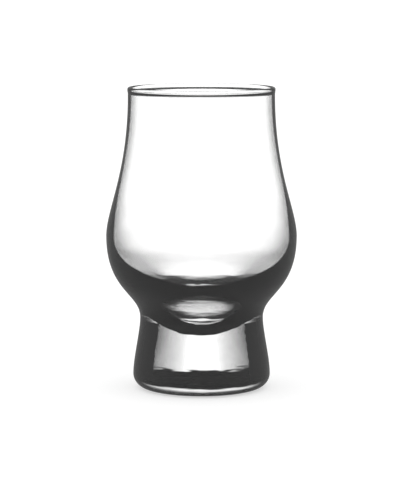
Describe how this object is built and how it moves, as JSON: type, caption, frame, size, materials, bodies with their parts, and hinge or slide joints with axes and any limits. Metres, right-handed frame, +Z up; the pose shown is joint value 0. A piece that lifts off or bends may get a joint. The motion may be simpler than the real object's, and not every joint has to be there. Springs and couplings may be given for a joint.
{
  "type": "whisky nosing glass",
  "caption": "Clear tulip-shaped nosing glass: full belly, tapered mouth with a rounded rim, and a short solid flared foot to hold it by.",
  "frame": {"origin": "centre of the base, on the table under the foot", "axes": "+Z up along the axis of revolution, towards the mouth; X and Y are equal"},
  "size_m": [0.0696, 0.0696, 0.11],
  "materials": {
    "bowl_glass": "clear, fire-polished, colourless",
    "foot_glass": "clear, polished, colourless, solid"
  },
  "bodies": {
    "root": {"bowl": "bowl_glass", "foot": "foot_glass"}
  },
  "joints": []
}
